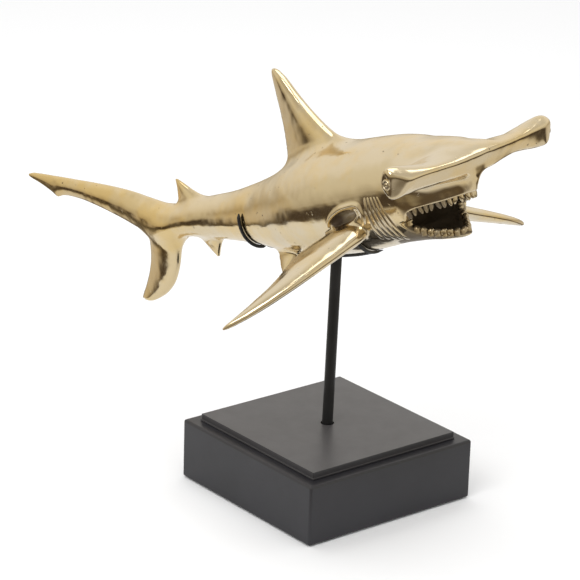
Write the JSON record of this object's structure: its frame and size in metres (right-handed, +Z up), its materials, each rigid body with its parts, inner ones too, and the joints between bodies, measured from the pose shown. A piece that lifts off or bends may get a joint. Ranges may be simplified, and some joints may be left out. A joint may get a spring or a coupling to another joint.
{
  "type": "shark figurine on a stand",
  "caption": "Cast brass hammerhead shark with open toothed jaws, held in a thin wire cradle on a round post above a square black plinth with a raised top panel.",
  "frame": {"origin": "middle of the plinth's underside", "axes": "+Z up the plinth, +X the way the shark heads, square to one side of the plinth"},
  "size_m": [0.6711, 0.3273, 0.3685],
  "materials": {
    "brass": "polished",
    "black_lacquer": "satin",
    "black_steel": "satin"
  },
  "bodies": {
    "root": {"shark_casting": "brass", "spine_wire": "black_steel", "rear_hook_left": "black_steel", "rear_hook_right": "black_steel", "front_hook_left": "black_steel", "front_hook_right": "black_steel", "post_rod": "black_steel", "plinth_block": "black_lacquer", "plinth_panel": "black_lacquer"}
  },
  "joints": []
}
